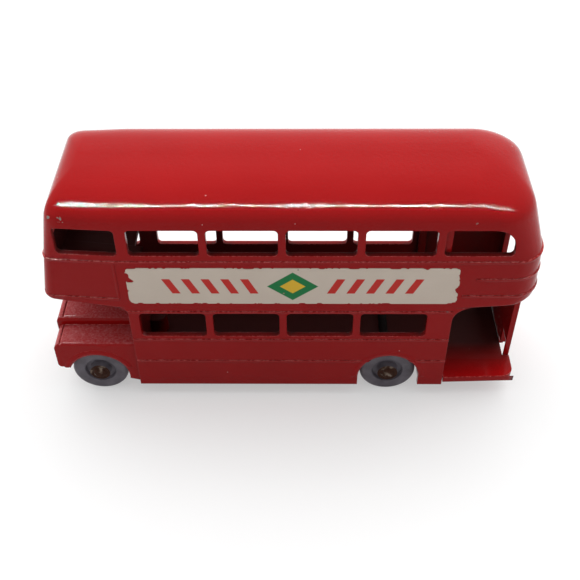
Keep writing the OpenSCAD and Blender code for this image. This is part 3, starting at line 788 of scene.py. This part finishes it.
def casting(node):
    """A casting as one joined skin with smooth curves and crisp cut edges."""
    piece = bpy.data.objects.new(node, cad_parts[node].data.copy())
    bpy.context.collection.objects.link(piece)
    take(piece)
    bpy.ops.mesh.customdata_custom_splitnormals_clear()
    bpy.ops.object.mode_set(mode="EDIT")
    bpy.ops.mesh.select_all(action="SELECT")
    bpy.ops.mesh.remove_doubles(threshold=WELD)
    bpy.ops.mesh.dissolve_limited(angle_limit=FLAT_ANGLE)
    bpy.ops.object.mode_set(mode="OBJECT")
    bpy.ops.object.shade_smooth_by_angle(angle=CUT_ANGLE)
    modify(piece, "WEIGHTED_NORMAL", keep_sharp=True)
    return piece


def wheel_face(wheel, outward, radius, bore, proud):
    """Shapes one face of a wheel: tyre wall, sloping dish, flat dish, hub and the start of the bore."""
    dish = radius * DISH_SHARE
    hub = radius * HUB_SHARE
    pick_faces(wheel, lambda face: face.normal.y * outward > FACING)
    bpy.ops.mesh.inset(thickness=radius - dish)
    bpy.ops.mesh.inset(thickness=WALL_SLOPE)
    bpy.ops.transform.translate(value=(0, -outward * DISH_DEPTH, 0))
    bpy.ops.mesh.inset(thickness=dish - WALL_SLOPE - hub - WALL_SLOPE)
    bpy.ops.mesh.inset(thickness=WALL_SLOPE)
    bpy.ops.transform.translate(value=(0, outward * (DISH_DEPTH + proud), 0))
    bpy.ops.mesh.inset(thickness=hub - bore)


def wheel_blank():
    """The front nearside wheel, from a cylinder: rounded shoulders, dished faces, hub, bore and tread."""
    low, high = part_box(WHEELS[0])
    axle_low, axle_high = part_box("front_axle")
    radius = (high.z - low.z) / 2
    bore = (axle_high.x - axle_low.x) / 2 / HEAD_SHARE + BORE_GAP
    centre = (low + high) / 2
    face_y = low.y + HUB_PROUD
    width = high.y - face_y
    bpy.ops.object.select_all(action="DESELECT")
    bpy.ops.mesh.primitive_cylinder_add(
        vertices=TREAD_FACES,
        radius=radius,
        depth=width,
        location=(centre.x, face_y + width / 2, centre.z),
        rotation=(QUARTER, 0, 0),
    )
    wheel = bpy.context.object
    bpy.ops.object.transform_apply(location=True, rotation=True, scale=True)
    bpy.ops.object.mode_set(mode="EDIT")

    def from_axis(point):
        return math.hypot(point.x - centre.x, point.z - centre.z)

    def on_circle(edge, reach):
        first, second = (vertex.co for vertex in edge.verts)
        level = abs(first.y - second.y) < SAME
        return level and abs(from_axis(first) - reach) < SAME and abs(from_axis(second) - reach) < SAME

    wheel_face(wheel, -1, radius, bore, HUB_PROUD)
    wheel_face(wheel, 1, radius, bore, 0)
    pick_faces(wheel, lambda face: from_axis(face.calc_center_median()) < SAME)
    bpy.ops.mesh.bridge_edge_loops()
    pick_edges(wheel, lambda edge: on_circle(edge, radius))
    bpy.ops.mesh.bevel(offset=SHOULDER, segments=SHOULDER_STEPS, affect="EDGES")
    slopes = (radius * DISH_SHARE, radius * HUB_SHARE)
    pick_edges(wheel, lambda edge: any(on_circle(edge, reach) for reach in slopes))
    bpy.ops.mesh.bevel(offset=RIM_ROUND, segments=RIM_STEPS, affect="EDGES")

    def sunk(face):
        point = face.calc_center_median()
        turn = math.atan2(point.z - centre.z, point.x - centre.x) % math.tau
        on_tread = abs(face.normal.y) < SAME and from_axis(point) > radius / 2
        return on_tread and int(turn / math.tau * TREAD_FACES) % 2

    pick_faces(wheel, sunk)
    bpy.ops.mesh.inset(thickness=TREAD_EDGE, depth=-TREAD_DEPTH, use_individual=True)
    bpy.ops.mesh.select_all(action="SELECT")
    bpy.ops.mesh.normals_make_consistent(inside=False)
    bpy.ops.object.mode_set(mode="OBJECT")
    return wheel


def wheel_at(blank, node):
    """A copy of the wheel at its own place, turned round for the offside, its dish in the second material."""
    low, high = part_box(node)
    start_low, start_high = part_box(WHEELS[0])
    start = (start_low + start_high) / 2
    shift = (low + high) / 2 - start
    take(blank)
    bpy.ops.object.duplicate(linked=False)
    wheel = bpy.context.object
    bpy.ops.object.mode_set(mode="EDIT")
    bpy.ops.mesh.select_all(action="SELECT")
    if shift.y > SAME:
        bpy.ops.transform.rotate(value=math.pi, orient_axis="Z", center_override=start)
    bpy.ops.transform.translate(value=shift)
    bpy.ops.object.mode_set(mode="OBJECT")
    bpy.ops.object.shade_smooth_by_angle(angle=CUT_ANGLE)
    centre = start + shift
    radius = (high.z - low.z) / 2
    for face in wheel.data.polygons:
        reach = math.hypot(face.center.x - centre.x, face.center.z - centre.z)
        face.material_index = int(reach < radius * DISH_SHARE)
    return wheel


def axle(node):
    """A pin whose ends are struck into domed heads."""
    low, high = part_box(node)
    centre = (low + high) / 2
    head = (high.x - low.x) / 2
    pin = head / HEAD_SHARE
    half = (high.y - low.y) / 2 - HEAD_THICKNESS
    dome = (head**2 + HEAD_THICKNESS**2) / (2 * HEAD_THICKNESS)
    bpy.ops.object.select_all(action="DESELECT")
    bpy.ops.mesh.primitive_cylinder_add(
        vertices=AXLE_SIDES,
        radius=pin,
        depth=2 * half,
        location=centre,
        rotation=(QUARTER, 0, 0),
    )
    piece = bpy.context.object
    bpy.ops.object.transform_apply(location=True, rotation=True, scale=True)
    bpy.ops.object.mode_set(mode="EDIT")
    for outward in (-1, 1):
        reach = pin
        rise = 0
        pick_faces(piece, lambda face: face.normal.y * outward > FACING)
        for step in range(DOME_STEPS):
            new_rise = HEAD_THICKNESS * step / DOME_STEPS
            new_reach = math.sqrt(dome**2 - (dome - HEAD_THICKNESS + new_rise) ** 2)
            lift = outward * (new_rise - rise)
            bpy.ops.mesh.extrude_region_move(TRANSFORM_OT_translate={"value": (0, lift, 0)})
            widen = new_reach / reach
            middle = (centre.x, centre.y + outward * (half + new_rise), centre.z)
            bpy.ops.transform.resize(value=(widen, 1, widen), center_override=middle)
            reach = new_reach
            rise = new_rise
    pick_faces(piece, lambda face: abs(face.calc_center_median().y - centre.y) > half + SAME)
    bpy.ops.transform.vertex_random(offset=DENT, seed=DENT_SEED)
    bpy.ops.object.mode_set(mode="OBJECT")
    bpy.ops.object.shade_smooth_by_angle(angle=CUT_ANGLE)
    return piece


def bite(place, deepest):
    """Depth of paper torn from an edge at a place, as rare rounded bites along it."""
    tear = noise.noise(place / BITE_LENGTH)
    fray = noise.noise(place / PAPER_CELL)
    return deepest * max(0, tear) ** 2 + PAPER_CELL * abs(fray)


def transfer(node):
    """A paper strip with torn ends and frayed edges, cut from a fine grid and given the paper's thickness."""
    low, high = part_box(node)
    size = high - low
    centre = (low + high) / 2
    outward = 1 if centre.y > 0 else -1
    wall_y = low.y if outward > 0 else high.y
    bpy.ops.object.select_all(action="DESELECT")
    bpy.ops.mesh.primitive_grid_add(
        x_subdivisions=round(size.x / PAPER_CELL),
        y_subdivisions=round(size.z / PAPER_CELL),
        size=1,
        location=(centre.x, wall_y, centre.z),
        rotation=(QUARTER, 0, 0),
    )
    piece = bpy.context.object
    piece.scale = (size.x, size.z, 1)
    bpy.ops.object.transform_apply(location=True, rotation=True, scale=True)
    bpy.ops.object.mode_set(mode="EDIT")

    def torn(face):
        point = face.calc_center_median()
        from_ends = min(point.x - low.x, high.x - point.x)
        from_edges = min(point.z - low.z, high.z - point.z)
        into_corner = Vector((max(0, PAPER_CORNER - from_ends), max(0, PAPER_CORNER - from_edges)))
        cut_corner = into_corner.length > PAPER_CORNER
        return from_ends < bite(point, END_BITE) or from_edges < bite(point, EDGE_BITE) or cut_corner

    pick_faces(piece, torn)
    bpy.ops.mesh.delete(type="FACE")
    pick_edges(piece, lambda edge: edge.is_boundary)
    bpy.ops.mesh.vertices_smooth(factor=SMOOTHING_SHARE, repeat=PAPER_SMOOTHING)
    bpy.ops.mesh.select_all(action="SELECT")
    bpy.ops.mesh.dissolve_limited(angle_limit=FLAT_ANGLE)
    bpy.ops.mesh.select_all(action="SELECT")
    bpy.ops.mesh.extrude_region_move(TRANSFORM_OT_translate={"value": (0, outward * size.y, 0)})
    bpy.ops.mesh.select_all(action="SELECT")
    bpy.ops.mesh.normals_make_consistent(inside=False)
    bpy.ops.object.mode_set(mode="OBJECT")
    bpy.ops.object.shade_smooth_by_angle(angle=CUT_ANGLE)
    return piece


# Stage


def set_floor():
    """A pale card that reads white, keeps the shadow of the bus and is clear from below."""
    bpy.ops.object.select_all(action="DESELECT")
    bpy.ops.mesh.primitive_plane_add(size=FLOOR_SIZE, location=(0, 0, cad_low.z))
    floor = bpy.context.object
    floor.name = "floor"
    material = bpy.data.materials.new("pale_floor_card")
    material.use_nodes = True
    tree = material.node_tree
    tree.nodes.clear()
    card = add(tree, "ShaderNodeBsdfDiffuse", {"Color": [FLOOR_TONE] * 3 + [1]})
    path = add(tree, "ShaderNodeLightPath")
    seen = path.outputs["Is Camera Ray"]
    for ray in ("Is Glossy Ray", "Is Transmission Ray"):
        either = add(tree, "ShaderNodeMath", {0: seen, 1: path.outputs[ray]}, operation="MAXIMUM")
        seen = either.outputs["Value"]
    strength = add(tree, "ShaderNodeMath", {0: seen, 1: FLOOR_GLOW}, operation="MULTIPLY")
    glow = add(tree, "ShaderNodeEmission", {"Strength": strength.outputs["Value"]})
    both = add(tree, "ShaderNodeAddShader", {0: card.outputs["BSDF"], 1: glow.outputs["Emission"]})
    below = add(tree, "ShaderNodeNewGeometry").outputs["Backfacing"]
    clear = add(tree, "ShaderNodeBsdfTransparent")
    surface = add(
        tree,
        "ShaderNodeMixShader",
        {0: below, 1: both.outputs["Shader"], 2: clear.outputs["BSDF"]},
    )
    add(tree, "ShaderNodeOutputMaterial", {"Surface": surface.outputs["Shader"]})
    floor.data.materials.append(material)


def set_lights():
    """Surroundings that grow brighter towards the white backdrop behind the bus, and a tube lamp overhead."""
    world = bpy.data.worlds.new("studio_surroundings")
    bpy.context.scene.world = world
    world.use_nodes = True
    tree = world.node_tree
    tree.nodes.clear()
    direction = add(tree, "ShaderNodeTexCoord").outputs["Generated"]
    towards = add(
        tree,
        "ShaderNodeVectorMath",
        {0: direction, 1: (0, math.sin(BRIGHT_TILT), math.cos(BRIGHT_TILT))},
        operation="DOT_PRODUCT",
    )
    share = add(
        tree,
        "ShaderNodeMapRange",
        {"Value": towards.outputs["Value"], "From Min": BRIGHT_START, "From Max": BRIGHT_FULL},
        interpolation_type="SMOOTHSTEP",
    ).outputs["Result"]
    path = add(tree, "ShaderNodeLightPath")
    level = add(
        tree,
        "ShaderNodeMapRange",
        {"Value": share, "To Min": DIM_LEVEL, "To Max": BRIGHT_LEVEL},
    ).outputs["Result"]
    for ray in ("Is Glossy Ray", "Is Transmission Ray", "Is Camera Ray"):
        level = add(
            tree,
            "ShaderNodeMix",
            {MIX_FACTOR: path.outputs[ray], BLEND_FIRST: level, BLEND_SECOND: WHITE_LEVEL},
            data_type="FLOAT",
        ).outputs[BLEND_RESULT]
    sky = add(tree, "ShaderNodeBackground", {"Color": linear("#ffffff"), "Strength": level})
    add(tree, "ShaderNodeOutputWorld", {"Surface": sky.outputs["Background"]})

    bpy.ops.object.light_add(type="AREA", location=(0, 0, TUBE_HEIGHT))
    tube = bpy.context.object
    tube.name = "overhead_tube"
    tube.data.shape = "RECTANGLE"
    tube.data.size = TUBE_LENGTH
    tube.data.size_y = TUBE_WIDTH
    tube.data.energy = TUBE_POWER
    # The tube shows as a gleam only: the light that it scatters is part of the surroundings' level
    tube.visible_diffuse = False


def set_camera():
    """The photograph's camera, as its place and turn in the bus's frame."""
    level = math.cos(CAMERA_PITCH)
    ahead = Vector((math.sin(CAMERA_YAW) * level, math.cos(CAMERA_YAW) * level, -math.sin(CAMERA_PITCH)))
    right = Vector((math.cos(CAMERA_YAW), -math.sin(CAMERA_YAW), 0))
    up = right.cross(ahead)
    tilted_right = right * math.cos(CAMERA_ROLL) + up * math.sin(CAMERA_ROLL)
    tilted_up = up * math.cos(CAMERA_ROLL) - right * math.sin(CAMERA_ROLL)
    turn = Matrix((tilted_right, tilted_up, -ahead)).transposed()
    bpy.ops.object.camera_add(location=CAMERA_PLACE, rotation=turn.to_euler())
    camera = bpy.context.object
    camera.data.sensor_width = SENSOR
    camera.data.lens = LENS
    camera.data.clip_start = NEAR_CLIP
    bpy.context.scene.camera = camera


# The bus

body_enamel = red_enamel("red_enamel_on_zinc_body", painted_shade_in_body)
base_enamel = red_enamel("red_enamel_on_zinc_base", painted_shade_on_base)
tyre_plastic = wheel_plastic("grey_moulded_plastic", "#555057", "#716c74")
# The dish is darker than the tyre
dish_plastic = wheel_plastic("grey_moulded_plastic_dark_dish", "#3a323a", "#4f4650")
steel = rusted_steel()
paper = printed_paper()

stand_for(casting("body_casting"), "body_casting", "chassis", "red_enamel", body_enamel)
stand_for(casting("base_plate"), "base_plate", "chassis", "red_enamel", base_enamel)

blank = wheel_blank()
for node in WHEELS:
    stand_for(wheel_at(blank, node), node, node, "wheel_plastic", tyre_plastic, dish_plastic)
bpy.data.objects.remove(blank)

for node in ("front_axle", "rear_axle"):
    stand_for(axle(node), node, node, "axle_steel", steel)

for node in ("nearside_transfer", "offside_transfer"):
    stand_for(transfer(node), node, "chassis", "transfer_paper", paper)

set_floor()
set_lights()
set_camera()
bpy.context.scene.view_settings.view_transform = "Standard"
